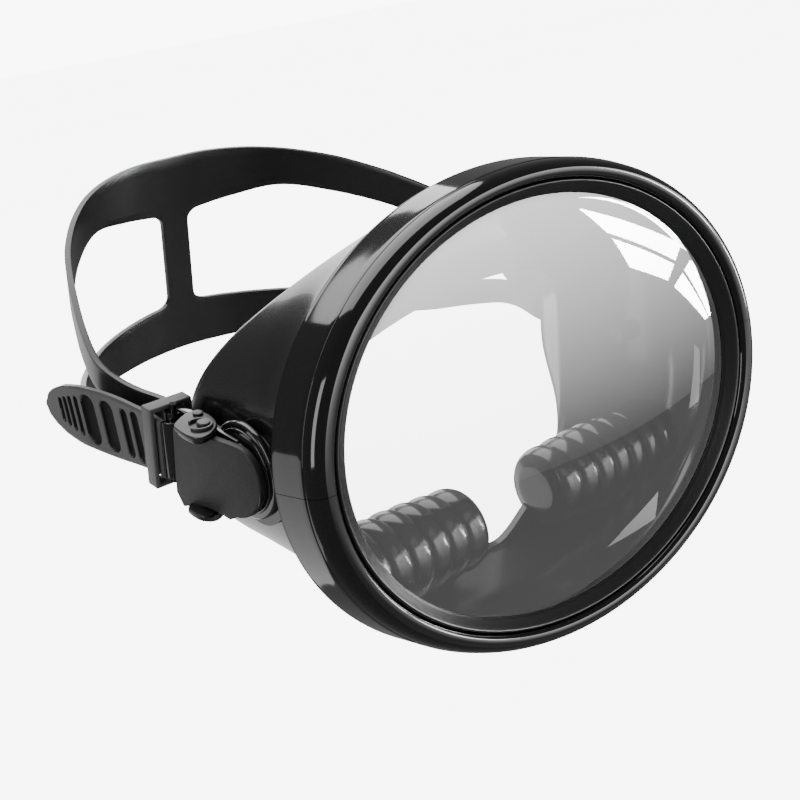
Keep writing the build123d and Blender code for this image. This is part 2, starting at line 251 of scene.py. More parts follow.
MATERIALS = {
    "rim": rubber_or_plastic("rim_gloss_black", (0.004, 0.004, 0.0043), 0.07, grain=0.005, coat=0.15),
    "bezel": rubber_or_plastic("bezel_satin", (0.008, 0.008, 0.009), 0.30, grain=0.12),
    "silicone": rubber_or_plastic("skirt_silicone", (0.008, 0.008, 0.009), 0.20, grain=0.01, coat=0.25),
    "buckle": rubber_or_plastic("buckle_black", (0.014, 0.014, 0.015), 0.32, grain=0.12),
    "cover": rubber_or_plastic("cover_matte", (0.018, 0.018, 0.0185), 0.55, grain=0.35, grain_scale=1600.0),
    "keeper": rubber_or_plastic("keeper_grey", (0.07, 0.07, 0.072), 0.42, grain=0.2),
    "pin": rubber_or_plastic("pin_grey", (0.05, 0.05, 0.052), 0.35, grain=0.15),
    "roller": rubber_or_plastic("roller_gloss", (0.006, 0.006, 0.0065), 0.08, grain=0.02, coat=0.4),
    "steel": rubber_or_plastic("pin_steel", (0.45, 0.45, 0.46), 0.25, grain=0.1),
    "strap": rubber_or_plastic("strap_rubber", (0.012, 0.012, 0.0125), 0.30, grain=0.10),
    "tail": rubber_or_plastic("tail_rubber", (0.075, 0.075, 0.076), 0.48, grain=0.25),
    # near black colour for the faces sunk in the tail's grooves: painted shade in the grooves
    "groove_painted_shade": rubber_or_plastic("groove_rubber_painted_shade", (0.0015, 0.0015, 0.0016), 0.75, grain=0.15),
    "lens": lens_material(),
}
MATERIALS["steel"].node_tree.nodes["Principled BSDF"].inputs["Metallic"].default_value = 1.0


def dress(piece, slot, body, *replaced):
    """Gives a piece the material of its slot when it has none, puts it under its body and hides the CAD
    nodes it stands for.
    """
    if not piece.data.materials:
        piece.data.materials.append(MATERIALS[slot])
    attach(piece, body)
    if replaced:
        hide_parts(*replaced)
    return piece


# ---- camera, light and floor -----------------------------------------------------------
CAMERA_PLACE = Vector((-0.2767, -0.3586, 0.1165))
CAMERA_TURN = (74.90, 10.14, -39.61)  # degrees about X, Y and Z


def make_camera():
    data = bpy.data.cameras.new("camera")
    data.lens, data.sensor_width = 67.5, 36.0
    camera = bpy.data.objects.new("camera", data)
    bpy.context.scene.collection.objects.link(camera)
    turn = Euler([math.radians(angle) for angle in CAMERA_TURN], "XYZ").to_matrix().to_4x4()
    camera.matrix_world = Matrix.Translation(CAMERA_PLACE) @ turn
    bpy.context.scene.camera = camera


def softbox(name, place, target, size, power, tall=None):
    data = bpy.data.lights.new(name, "AREA")
    data.energy = power
    data.size = size
    if tall:
        data.shape = "RECTANGLE"
        data.size_y = tall
    light = bpy.data.objects.new(name, data)
    bpy.context.scene.collection.objects.link(light)
    light.location = place
    light.rotation_euler = (Vector(target) - Vector(place)).to_track_quat("-Z", "Y").to_euler()
    return light


# The window is seen mirrored on the lens as two panes by two. Each upright edge has its angle
# round the lens and its share of the way out to the lens's edge, at its top and at its foot.
WINDOW_UPRIGHTS = [((73, 0.92), (49, 0.70)), ((33, 0.98), (30, 0.78)),
                   ((27, 0.99), (26, 0.79)), ((7, 0.96), (7, 0.895))]
WINDOW_LEVELS = [(0.0, 0.45), (0.55, 1.0)]  # top and foot of each row of panes
# corners on the lens, in millimetres, of the faint bright patches and of the sky and ground
SIDE_WINDOW = [(58.0, 1.0), (60.5, -1.5), (57.0, -17.0), (51.5, -17.5)]
LOW_WINDOW = [(34.0, -38.0), (32.5, -46.5), (10.0, -47.0), (18.5, -43.5)]
SKY = [(-95.0, 62.0), (95.0, 62.0), (95.0, -6.0), (-95.0, -6.0)]
GROUND = [(-95.0, -6.0), (95.0, -6.0), (95.0, -66.0), (-95.0, -66.0)]
# card behind and below the left side, in metres, seen in the side of the rim
FLANK = [(-1.3, 0.9, 0.02), (0.7, 1.5, 0.02), (0.7, 1.5, -1.1), (-1.3, 0.9, -1.1)]
SKY_DISTANCE, WINDOW_DISTANCE = 3.0, 1.5
BACKGROUND_GLOW = 9.0
FLOOR_GAP, FLOOR_SIZE = 0.012, 30.0  # metres


def mirrored(x, z, distance):
    """Point far away that is seen mirrored at a place on the lens."""
    rho = (x / WINDOW_X) ** 2 + (z / WINDOW_Z) ** 2
    place = Vector((x, LENS_Y - DOME_HEIGHT * (1 - rho), z))
    slope_x, slope_z = 2 * DOME_HEIGHT * x / WINDOW_X**2, 2 * DOME_HEIGHT * z / WINDOW_Z**2
    normal = Vector((slope_x, -1, slope_z)).normalized()
    ray = (place * MM - CAMERA_PLACE).normalized()
    return place * MM + (ray - 2 * ray.dot(normal) * normal) * distance


def pane_corner(upright, level):
    """Place on the lens at a share of the way down one upright edge of the window."""
    (top_angle, top_rho), (foot_angle, foot_rho) = upright
    angle = math.radians(top_angle + (foot_angle - top_angle) * level)
    rho = top_rho + (foot_rho - top_rho) * level
    return WINDOW_X * rho * math.cos(angle), WINDOW_Z * rho * math.sin(angle)


def window_panes():
    panes = []
    for left, right in (WINDOW_UPRIGHTS[:2], WINDOW_UPRIGHTS[2:]):
        for top, foot in WINDOW_LEVELS:
            panes.append([pane_corner(left, top), pane_corner(right, top),
                          pane_corner(right, foot), pane_corner(left, foot)])
    return panes


def lens_spread(corners, distance):
    return [mirrored(x, z, distance) for x, z in corners]


def glow_card(name, spread, low, high):
    """Bright card that is only seen in reflections; its light grows from low to high upwards."""
    verts = []
    for row in range(9):
        left = spread[0].lerp(spread[3], row / 8)
        right = spread[1].lerp(spread[2], row / 8)
        verts += [left.lerp(right, k / 8) for k in range(9)]
    mesh = bpy.data.meshes.new(name)
    mesh.from_pydata(verts, [], grid_faces(9, 9))
    card = bpy.data.objects.new(name, mesh)
    bpy.context.scene.collection.objects.link(card)
    material = bpy.data.materials.new(name)
    material.use_nodes = True
    nodes, links = material.node_tree.nodes, material.node_tree.links
    nodes.remove(nodes["Principled BSDF"])
    place = nodes.new("ShaderNodeTexCoord")
    height = nodes.new("ShaderNodeSeparateXYZ")
    links.new(place.outputs["Generated"], height.inputs["Vector"])
    amount = nodes.new("ShaderNodeMapRange")
    amount.interpolation_type = "SMOOTHSTEP"
    amount.inputs["To Min"].default_value, amount.inputs["To Max"].default_value = low, high
    links.new(height.outputs["Z"], amount.inputs["Value"])
    glow = nodes.new("ShaderNodeEmission")
    links.new(amount.outputs["Result"], glow.inputs["Strength"])
    links.new(glow.outputs["Emission"], nodes["Material Output"].inputs["Surface"])
    mesh.materials.append(material)
    card.visible_camera = card.visible_diffuse = card.visible_shadow = False
    card.visible_transmission = False


def make_world():
    world = bpy.data.worlds.new("studio")
    bpy.context.scene.world = world
    world.use_nodes = True
    nodes, links = world.node_tree.nodes, world.node_tree.links
    plain = nodes["Background"]
    plain.inputs["Color"].default_value = (1, 1, 1, 1)
    plain.inputs["Strength"].default_value = 0.20
    seen = nodes.new("ShaderNodeBackground")
    seen.inputs["Color"].default_value = (1, 1, 1, 1)
    seen.inputs["Strength"].default_value = BACKGROUND_GLOW
    path = nodes.new("ShaderNodeLightPath")
    mix = nodes.new("ShaderNodeMixShader")
    links.new(path.outputs["Is Camera Ray"], mix.inputs["Fac"])
    links.new(plain.outputs["Background"], mix.inputs[1])
    links.new(seen.outputs["Background"], mix.inputs[2])
    links.new(mix.outputs["Shader"], nodes["World Output"].inputs["Surface"])


def make_floor():
    low = CAD_BOX[0][2] - FLOOR_GAP
    size = FLOOR_SIZE
    mesh = bpy.data.meshes.new("floor")
    mesh.from_pydata([(-size, -size, low), (size, -size, low), (size, size, low), (-size, size, low)],
                     [], [(0, 1, 2, 3)])
    floor = bpy.data.objects.new("floor", mesh)
    bpy.context.scene.collection.objects.link(floor)
    material = bpy.data.materials.new("floor_paper")
    material.use_nodes = True
    nodes, links = material.node_tree.nodes, material.node_tree.links
    paper = nodes.new("ShaderNodeTexNoise")
    paper.inputs["Scale"].default_value = 60.0
    tint = nodes.new("ShaderNodeValToRGB")
    tint.color_ramp.elements[0].color = (0.93, 0.93, 0.93, 1)
    tint.color_ramp.elements[1].color = (0.97, 0.97, 0.97, 1)
    links.new(paper.outputs["Fac"], tint.inputs["Fac"])
    links.new(tint.outputs["Color"], nodes["Principled BSDF"].inputs["Base Color"])
    shader = nodes["Principled BSDF"]
    shader.inputs["Roughness"].default_value = 0.9
    glow = nodes.new("ShaderNodeEmission")
    glow.inputs["Strength"].default_value = BACKGROUND_GLOW
    links.new(tint.outputs["Color"], glow.inputs["Color"])
    path = nodes.new("ShaderNodeLightPath")
    share = nodes.new("ShaderNodeMath")
    share.operation = "MULTIPLY"
    share.inputs[1].default_value = 0.9
    links.new(path.outputs["Is Camera Ray"], share.inputs[0])
    mix = nodes.new("ShaderNodeMixShader")
    links.new(share.outputs["Value"], mix.inputs["Fac"])
    links.new(shader.outputs["BSDF"], mix.inputs[1])
    links.new(glow.outputs["Emission"], mix.inputs[2])
    links.new(mix.outputs["Shader"], nodes["Material Output"].inputs["Surface"])
    floor.data.materials.append(material)
    floor.visible_glossy = False


make_camera()
make_world()
make_floor()
softbox("overhead", (0.1, 0.5, 1.3), (0, 0, 0), 1.4, 26)
softbox("front_left", (-1.4, -0.3, 0.5), (0, 0, 0), 0.5, 9, 1.0)
softbox("behind", (0.5, 1.5, 0.5), (0, 0, 0), 1.0, 14)
glow_card("sky_card", lens_spread(SKY, SKY_DISTANCE), 0.4, 8.0)
glow_card("ground_card", lens_spread(GROUND, SKY_DISTANCE), 0.4, 0.4001)
for number, corners in enumerate(window_panes()):
    glow_card(f"window_card_{number}", lens_spread(corners, WINDOW_DISTANCE), 55.0, 70.0)
glow_card("side_card", lens_spread(SIDE_WINDOW, WINDOW_DISTANCE), 1.6, 2.1)
glow_card("low_card", lens_spread(LOW_WINDOW, WINDOW_DISTANCE), 1.5, 2.0)
glow_card("flank_card", [Vector(corner) for corner in FLANK], 1.5, 1.3)


# ---- rim, bezel, gasket and lens ---------------------------------------------------------
def swept_oval(name, profile, start=0.0, end=2 * math.pi, steps=288):
    """Sweeps a closed profile of (growth, depth) round the window's oval."""
    whole = end - start > 6.28
    count = steps if whole else steps + 1
    verts = []
    for k in range(count):
        angle = start + (end - start) * k / steps
        for grow, y in profile:
            verts.append(((WINDOW_X + grow) * math.cos(angle), y,
                          (WINDOW_Z + RIM_ASPECT * grow) * math.sin(angle)))
    width = len(profile)
    faces = grid_faces(count, width, wrap_rows=whole, wrap_columns=True)
    if not whole:
        faces += [tuple(range(width)), tuple(reversed(range((count - 1) * width, count * width)))]
    return outward(add_mesh(name, verts, faces))


RIM_PROFILE = [(12.9, -47.0), (13.0, -47.5), (12.9, -51.0), (12.75, -55.0), (12.6, -59.0), (12.35, -59.5),
               (12.2, -60.4), (11.8, -61.8), (11.0, -63.1), (9.9, -64.0), (8.7, -64.5), (7.4, -64.6),
               (6.2, -64.3), (5.4, -63.5), (5.0, -62.5), (4.9, -61.0), (4.9, -57.0), (4.9, -54.2),
               (10.7, -50.6), (10.8, -49.0), (10.8, -47.4), (11.1, -47.0)]
BEZEL_PROFILE = [(4.7, -60.1), (4.7, -62.3), (4.5, -63.0), (4.0, -63.3), (3.5, -63.1), (2.4, -62.3),
                 (1.2, -61.4), (0.5, -60.9), (0.1, -60.5), (0.0, -60.1)]
GASKET_PROFILE = [(4.7, -60.0), (3.1, -60.0), (3.1, -56.4), (0.6, -56.4), (0.4, -55.9), (0.5, -54.3),
                  (4.7, -54.3)]

seam_angle = math.asin(SEAM_Z / (WINDOW_Z + RIM_ASPECT * 9))
half_gap = 0.0012
fine_rim = curve_through(RIM_PROFILE, 3, closed=True)
dress(smooth_by_angle(swept_oval("rim_upper_shell", fine_rim, seam_angle + half_gap,
                                 math.pi - seam_angle - half_gap)), "rim", "mask", "rim_upper")
dress(smooth_by_angle(swept_oval("rim_lower_shell", fine_rim, math.pi - seam_angle + half_gap,
                                 2 * math.pi + seam_angle - half_gap)), "rim", "mask", "rim_lower")
dress(smooth_by_angle(swept_oval("bezel_ring", curve_through(BEZEL_PROFILE, 2, closed=True))),
      "bezel", "mask", "lens_bezel")
dress(smooth_by_angle(swept_oval("gasket_ring", GASKET_PROFILE)), "silicone", "mask", "lens_gasket")


LENS_EDGE = 3.0  # flat border of the lens, under the bezel


def make_lens():
    rings, spokes = 40, 160
    faces_per_side = []
    verts = []
    for back in (0, 1):
        for ring in range(rings + 1):
            rho = ring / rings
            for spoke in range(spokes):
                angle = 2 * math.pi * spoke / spokes
                grow = LENS_EDGE * smoothstep(0.96, 1.0, rho)
                flat = min(rho / 0.96, 1.0)
                bulge = DOME_HEIGHT * (1 - flat * flat)
                verts.append(((WINDOW_X * flat + grow) * math.cos(angle),
                              LENS_Y - bulge + back * LENS_THICKNESS,
                              (WINDOW_Z * flat + RIM_ASPECT * grow) * math.sin(angle)))
        faces_per_side.append(grid_faces(rings + 1, spokes, wrap_columns=True))
    offset = (rings + 1) * spokes
    faces = faces_per_side[0] + [tuple(i + offset for i in reversed(f)) for f in faces_per_side[1]]
    for spoke in range(spokes):
        a, b = rings * spokes + spoke, rings * spokes + (spoke + 1) % spokes
        faces.append((a, b, b + offset, a + offset))
    return outward(add_mesh("lens_pane", verts, faces))


dress(smooth_by_angle(make_lens(), 50), "lens", "mask", "lens")


# ---- skirt and nose bellows --------------------------------------------------------------
# depth, half width, half height above and below the middle, power of the oval
SKIRT_SECTIONS = [(-54.0, 78.6, 61.4, 61.4, 2.0), (-50.5, 84.0, 65.0, 65.0, 2.0),
                  (-46.0, 83.4, 64.4, 64.4, 2.0), (-36.5, 76.0, 62.0, 59.0, 2.15),
                  (-20.0, 74.6, 57.5, 51.0, 2.4), (0.0, 73.6, 53.0, 42.5, 2.65),
                  (27.0, 72.6, 49.0, 36.0, 2.8)]
SKIRT_WALL = 2.0
SKIRT_FRONT = SKIRT_SECTIONS[0][0]
HEAD_RADIUS, HEAD_AXIS_Y, HEAD_LEAN = 79.0, 49.5, math.tan(math.radians(9.5))
OPENING_X, OPENING_Z, OPENING_MIDDLE = 55.0, 38.0, -3.0


def skirt_point(y, angle):
    half_x, top, bottom, power = table_at(SKIRT_SECTIONS, y)
    c, s = math.cos(angle), math.sin(angle)
    half_z = top if s > 0 else bottom
    return (half_x * math.copysign(abs(c) ** (2 / power), c), y,
            half_z * math.copysign(abs(s) ** (2 / power), s))


def head_y(x, z):
    return HEAD_AXIS_Y - z * HEAD_LEAN - math.sqrt(max(HEAD_RADIUS**2 - x * x, 1.0))


def wall_end(angle):
    """Depth at which the skirt's wall meets the face."""
    low, high = -50.0, 27.0
    for _ in range(30):
        middle = (low + high) / 2
        x, y, z = skirt_point(middle, angle)
        if y < head_y(x, z):
            low = middle
        else:
            high = middle
    return low


def opening_point(angle):
    x = OPENING_X * math.cos(angle)
    z = OPENING_MIDDLE + OPENING_Z * math.sin(angle)
    if math.sin(angle) < 0:
        z -= 7.5 * math.exp(-(x / 13.0) ** 2)
    return x, z


def make_skirt():
    spokes, wall_rows, flange_rows = 220, 34, 12
    rows = [[] for _ in range(wall_rows + flange_rows)]
    for spoke in range(spokes):
        angle = 2 * math.pi * (spoke + 0.5) / spokes
        end = wall_end(angle)
        for row in range(wall_rows):
            y = SKIRT_FRONT + (end - SKIRT_FRONT) * row / (wall_rows - 1)
            rows[row].append(skirt_point(y, angle))
        fold = skirt_point(end, angle)
        inner_x, inner_z = opening_point(angle)
        for row in range(flange_rows):
            t = (row + 1) / flange_rows
            x, z = fold[0] + (inner_x - fold[0]) * t, fold[2] + (inner_z - fold[2]) * t
            lip = 1.6 * math.sin(math.pi * min(t * 1.6, 1.0)) - 1.2 * t
            rows[wall_rows + row].append((x, head_y(x, z) - 0.3 + lip, z))
    verts = [v for row in rows for v in row]
    piece = add_mesh("skirt_moulding", verts, grid_faces(len(rows), spokes, wrap_columns=True))
    outward(piece)
    relax = piece.modifiers.new("relax", "SMOOTH")
    relax.factor, relax.iterations = 0.5, 3
    thick = piece.modifiers.new("wall", "SOLIDIFY")
    thick.thickness, thick.offset = SKIRT_WALL * MM, -1.0
    return piece


BELLOWS_Y, BELLOWS_Z, BELLOWS_TIP, BELLOWS_PITCH = -30.5, -36.0, 16.0, 7.3
BELLOWS_TIP_RADIUS, BELLOWS_ROOT_RADIUS = 8.4, 12.6
RIB_DEPTH, BELLOWS_WALL = 2.3, 1.3


def bellows_radius(x):
    """Rounded ribs with narrow grooves between them, behind a narrower tip."""
    along = x - BELLOWS_TIP
    rib = (along - 4.2) / BELLOWS_PITCH
    off = 2 * abs(rib - round(rib))
    crest = BELLOWS_ROOT_RADIUS - 1.2 + 1.2 * smoothstep(0, 25, along)
    radius = crest - RIB_DEPTH * (1 - math.sqrt(max(1 - 0.97 * off * off, 0.0)))
    if along < 4.2:
        t = along / 4.2
        radius = BELLOWS_TIP_RADIUS + (crest - BELLOWS_TIP_RADIUS) * math.sqrt(max(1 - (1 - t) ** 2, 0.0))
    return radius


def bellows_end(angle):
    """How far out the tube runs before it meets the skirt's wall."""
    y = BELLOWS_Y + BELLOWS_ROOT_RADIUS * math.cos(angle)
    z = BELLOWS_Z + BELLOWS_ROOT_RADIUS * math.sin(angle)
    half_x, top, bottom, power = table_at(SKIRT_SECTIONS, y)
    ratio = min(abs(z) / (bottom if z < 0 else top), 0.995)
    return half_x * (1 - ratio**power) ** (1 / power) - 0.6


def make_bellows(side_name, side):
    spokes, steps = 96, 150
    cap = [(0.0, 0.0), (0.45, 0.0), (0.8, 0.0), (0.93, 0.12), (0.985, 0.5)]
    verts = []
    for share, depth in cap:
        for spoke in range(spokes):
            angle = 2 * math.pi * spoke / spokes
            r = max(share * BELLOWS_TIP_RADIUS, 0.02)
            verts.append((BELLOWS_TIP + depth,
                          BELLOWS_Y + r * math.cos(angle), BELLOWS_Z + r * math.sin(angle)))
    ends = [max(bellows_end(2 * math.pi * k / spokes), BELLOWS_TIP + 14.0) for k in range(spokes)]
    for step in range(steps + 1):
        for spoke in range(spokes):
            angle = 2 * math.pi * spoke / spokes
            x = BELLOWS_TIP + 0.9 + (ends[spoke] - BELLOWS_TIP - 0.9) * step / steps
            r = bellows_radius(x)
            verts.append((x, BELLOWS_Y + r * math.cos(angle), BELLOWS_Z + r * math.sin(angle)))
    faces = grid_faces(len(cap) + steps + 1, spokes, wrap_columns=True)
    piece = outward(add_mesh("bellows_" + side_name + "_moulding", verts, faces, side=side))
    thick = piece.modifiers.new("wall", "SOLIDIFY")
    thick.thickness, thick.offset = BELLOWS_WALL * MM, -1.0
    return piece


def well_cutter(side):
    """Solid that cuts a finger well through the skirt."""
    spokes = 72
    verts = []
    for x in (30.0, 95.0):
        for spoke in range(spokes):
            angle = 2 * math.pi * spoke / spokes
            verts.append((x, BELLOWS_Y + (BELLOWS_ROOT_RADIUS - 0.4) * math.cos(angle),
                          BELLOWS_Z + (BELLOWS_ROOT_RADIUS - 0.4) * math.sin(angle)))
    faces = grid_faces(2, spokes, wrap_columns=True)
    faces += [tuple(reversed(range(spokes))), tuple(range(spokes, 2 * spokes))]
    return outward(add_mesh("cutter", verts, faces, side=side))


skirt = apply_modifiers(make_skirt())
cutters = [well_cutter(side) for _, side in SIDES]
for cutter in cutters:
    cut = skirt.modifiers.new("well", "BOOLEAN")
    cut.operation, cut.solver, cut.object = "DIFFERENCE", "EXACT", cutter
apply_modifiers(skirt)
for cutter in cutters:
    bpy.data.objects.remove(cutter)
dress(smooth_by_angle(skirt, 45), "silicone", "mask", "skirt")
for side_name, side in SIDES:
    bellows = smooth_by_angle(apply_modifiers(make_bellows(side_name, side)), 50)
    bellows.data.materials.append(MATERIALS["silicone"])
    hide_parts("nose_bellows_" + side_name)
    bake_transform(bellows)


# ---- buckles -------------------------------------------------------------------------
PIN_X, PIN_Y = 83.3, 15.4


def extruded(name, outline, x0, x1, side, bevel):
    """Outline in harness Y and Z, given thickness along X, with rounded edges."""
    count = len(outline)
    verts = [(x0, y, z) for y, z in outline] + [(x1, y, z) for y, z in outline]
    faces = [tuple(range(count)), tuple(reversed(range(count, 2 * count)))]
    faces += [(k, (k + 1) % count, (k + 1) % count + count, k + count) for k in range(count)]
    piece = outward(add_mesh(name, verts, faces, HARNESS, side))
    round_edges(piece, bevel)
    return piece


def round_edges(piece, width, segments=3):
    bevel = piece.modifiers.new("edges", "BEVEL")
    bevel.width, bevel.segments, bevel.limit_method = width * MM, segments, "ANGLE"
    bevel.angle_limit = math.radians(35)
    bevel.use_clamp_overlap = True
    apply_modifiers(piece)
    return smooth_by_angle(piece, 35)


COVER_THICKNESS = 2.4
# harness Y and Z of the cover's edge
COVER_TOP = [(25.4, 10.4), (26.5, 9.4)]
COVER_HEEL = [(27.4, -11.2), (26.3, -12.9)]
BACK_TOOTH, FRONT_TOOTH, NOTCH_DEPTH = (24.7, -15.3), (5.5, -12.5), 1.8
COVER_FRONT_Y, COVER_FRONT_Z = -7.75, 2.0
# each arc of the round front: middle in Y, half height, and its angles from the foremost point
FRONT_BELOW, FRONT_ABOVE = (5.0, 12.9, -82, 0), (1.0, 9.8, 0, 90)
ARC_STEPS, NOTCH_STEPS = 8, 8


def cover_outline():
    """Heel, lower edge with a tooth at each end of a notch, round front, then the flat top."""
    points = COVER_TOP + COVER_HEEL
    for k in range(NOTCH_STEPS + 1):
        t = k / NOTCH_STEPS
        points.append((BACK_TOOTH[0] + (FRONT_TOOTH[0] - BACK_TOOTH[0]) * t,
                       BACK_TOOTH[1] + (FRONT_TOOTH[1] - BACK_TOOTH[1]) * t + NOTCH_DEPTH * 4 * t * (1 - t)))
    for middle, height, start, end in (FRONT_BELOW, FRONT_ABOVE):
        for k in range(1 if start == 0 else 0, ARC_STEPS + 1):
            angle = math.radians(start + (end - start) * k / ARC_STEPS)
            points.append((middle - (middle - COVER_FRONT_Y) * math.cos(angle),
                           COVER_FRONT_Z + height * math.sin(angle)))
    return points


def cover_face(y):
    """The cover slopes in towards the head at its front."""
    return 81.85 + 0.139 * y


def make_cover(side_name, side):
    outline = cover_outline()
    count = len(outline)
    verts = [(cover_face(y) - COVER_THICKNESS, y, z) for y, z in outline]
    verts += [(cover_face(y), y, z) for y, z in outline]
    faces = [tuple(range(count)), tuple(reversed(range(count, 2 * count)))]
    faces += [(k, (k + 1) % count, (k + 1) % count + count, k + count) for k in range(count)]
    piece = outward(add_mesh("cover_" + side_name + "_shell", verts, faces, HARNESS, side))
    round_edges(piece, 0.5)
    return dress(piece, "cover", "cover_" + side_name, "release_cover_" + side_name)


def tube(name, axis_xy, z0, z1, outer, inner, side, start=0, end=360, steps=48):
    """Tube or C-shaped ring about an upright axis in the harness."""
    whole = end - start >= 360
    profile = [(outer, z0), (outer, z1), (inner, z1), (inner, z0)]
    count = steps if whole else steps + 1
    verts = []
    for k in range(count):
        angle = math.radians(start + (end - start) * k / steps)
        for r, z in profile:
            verts.append((axis_xy[0] + r * math.cos(angle), axis_xy[1] + r * math.sin(angle), z))
    faces = grid_faces(count, 4, wrap_rows=whole, wrap_columns=True)
    if not whole:
        faces += [(0, 1, 2, 3), tuple(reversed(range((count - 1) * 4, count * 4)))]
    piece = outward(add_mesh(name, verts, faces, HARNESS, side))
    return round_edges(piece, 0.25)


def knob(name, axis_xy, levels, side, steps=48):
    """Turned solid about an upright axis: levels are radius and height."""
    verts = []
    for r, z in levels:
        for k in range(steps):
            angle = 2 * math.pi * k / steps
            verts.append((axis_xy[0] + r * math.cos(angle), axis_xy[1] + r * math.sin(angle), z))
    faces = grid_faces(len(levels), steps, wrap_columns=True)
    faces += [tuple(range(steps)), tuple(range((len(levels) - 1) * steps, len(levels) * steps))]
    return smooth_by_angle(outward(add_mesh(name, verts, faces, HARNESS, side)), 40)


# harness X and Y of the points that the boss's rounded outline passes through
BOSS_TOP = [(88.2, 20.9), (83.9, 23.9), (80.2, 24.9), (77.9, 23.1), (77.4, 18.9), (78.7, 14.0),
            (81.7, 10.9), (85.2, 9.2), (87.9, 9.9), (89.0, 13.4), (89.0, 17.5)]


def shrunk(outline, share):
    middle = [sum(p[k] for p in outline) / len(outline) for k in (0, 1)]
    return [(middle[0] + (x - middle[0]) * share, middle[1] + (y - middle[1]) * share) for x, y in outline]


def flat_plate(name, outline, z0, z1, side, bevel):
    """Outline in harness X and Y, given thickness along Z."""
    count = len(outline)
    verts = [(x, y, z0) for x, y in outline] + [(x, y, z1) for x, y in outline]
    faces = [tuple(reversed(range(count))), tuple(range(count, 2 * count))]
    faces += [(k, (k + 1) % count, (k + 1) % count + count, k + count) for k in range(count)]
    return round_edges(outward(add_mesh(name, verts, faces, HARNESS, side)), bevel)


def make_hinge(side_name, side):
    pin = knob("pin_" + side_name + "_turned", (PIN_X - 1.2, PIN_Y),
               [(0.4, -16.0), (2.8, -15.8), (3.4, -15.2), (3.4, -13.6), (0.9, -13.5), (0.9, 12.8),
                (2.0, 12.9), (2.0, 14.0), (1.7, 14.3), (0.4, 14.4)], side)
    dress(pin, "pin", "harness", "cover_pin_" + side_name)
    outline = curve_through(BOSS_TOP, 5, closed=True)
    boss = flat_plate("boss_" + side_name, outline, 11.9, 13.3, side, 0.4)
    dress(boss, "buckle", "harness")
    ring = tube("c_ring_" + side_name, (PIN_X, PIN_Y), 13.1, 14.2, 3.7, 2.9, side, 60, 350)
    dress(ring, "pin", "harness")
    seat = flat_plate("boss_seat_" + side_name, shrunk(outline, 0.86), 10.6, 11.9, side, 0.3)
    dress(seat, "roller", "harness")
    foot = flat_plate("boss_low_" + side_name, shrunk(outline, 0.7), -14.2, -12.6, side, 0.35)
    dress(foot, "buckle", "harness")
    stop = knob("boss_stop_" + side_name, (79.6, 21.9),
                [(0.4, 13.2), (1.5, 13.2), (1.5, 13.9), (1.1, 14.1), (0.4, 14.1)], side)
    dress(stop, "buckle", "harness")


def loop_piece(name, outer, inner, y0, y1, side, bevel):
    """Rectangular loop about the strap: corners in X and Z, thickness along Y."""
    rings = []
    for (x0, x1, z0, z1), y in ((outer, y0), (outer, y1), (inner, y1), (inner, y0)):
        rings.append([(x0, y, z0), (x1, y, z0), (x1, y, z1), (x0, y, z1)])
    verts = [v for ring in rings for v in ring]
    faces = grid_faces(4, 4, wrap_rows=True, wrap_columns=True)
    piece = outward(add_mesh(name, verts, faces, HARNESS, side))
    return round_edges(piece, bevel)


def make_keeper(side_name, side):
    piece = loop_piece("keeper_" + side_name + "_loop", (73.7, 87.8, -12.6, 12.6), (75.2, 86.3, -11.1, 11.1),
                       34.0, 38.9, side, 0.5)
    dress(piece, "keeper", "harness", "strap_keeper_" + side_name)


def flange_circle(radius):
    return [(3.4 + radius * math.cos(2 * math.pi * k / 72), 2.2 + radius * math.sin(2 * math.pi * k / 72))
            for k in range(72)]


def make_plate(side_name, side):
    """Visible parts of the swivel base: stepped round flange and the two rails."""
    circle = flange_circle(14.2)
    flange = extruded("flange_" + side_name, circle, 75.9, 78.0, side, 0.7)
    dress(flange, "roller", "harness", "buckle_base_" + side_name)
    step = flange_circle(12.4)
    dress(extruded("flange_step_" + side_name, step, 77.8, 78.6, side, 0.35), "roller", "harness")
    arm = [(2.0, -10.8), (27.0, -10.8), (27.0, 10.8), (2.0, 10.8)]
    dress(extruded("arm_" + side_name, arm, 77.0, 79.1, side, 0.4), "buckle", "harness")
    for end, z0, z1 in (("top", 9.9, 11.4), ("low", -11.6, -10.1)):
        rail = [(76.9, 4.0), (79.3, 4.0), (79.4, 10.0), (79.9, 17.0), (80.2, 34.2), (77.2, 34.2)]
        dress(flat_plate(f"rail_{end}_{side_name}", rail, z0, z1, side, 0.3), "roller", "harness")


for side_name, side in SIDES:
    make_cover(side_name, side)
    make_hinge(side_name, side)
    make_keeper(side_name, side)
    make_plate(side_name, side)


# ---- strap -----------------------------------------------------------------------
STRAP_THICKNESS = 2.0
STRAP_PLAN = [(0.0, 156.5), (22.0, 153.0), (43.0, 141.5), (63.0, 119.0), (76.5, 92.0),
              (83.0, 72.0), (82.0, 60.0), (77.6, 46.0), (77.1, 40.0), (77.1, 32.6)]
# share of the way from the middle of the band, upper edge, lower edge
BAND_EDGES = [(0.0, 40.6, -33.0), (0.1, 40.8, -33.0), (0.22, 39.5, -32.0), (0.37, 36.0, -29.0),
              (0.5, 31.0, -25.0), (0.6, 26.5, -21.5), (0.7, 20.5, -16.5), (0.8, 13.5, -12.0),
              (0.88, 10.2, -10.0), (1.0, 9.5, -9.5)]
HOLE_EDGES = [(0.032, 20.0, -15.5), (0.14, 22.5, -16.5), (0.25, 25.0, -17.0), (0.37, 22.5, -16.0),
              (0.5, 18.5, -13.5), (0.6, 14.5, -10.5), (0.7, 9.5, -7.0), (0.8, 4.5, -3.5), (0.83, 3.6, -3.0)]
HOLE_START, HOLE_END, CORNER = 0.032, 0.83, 0.03


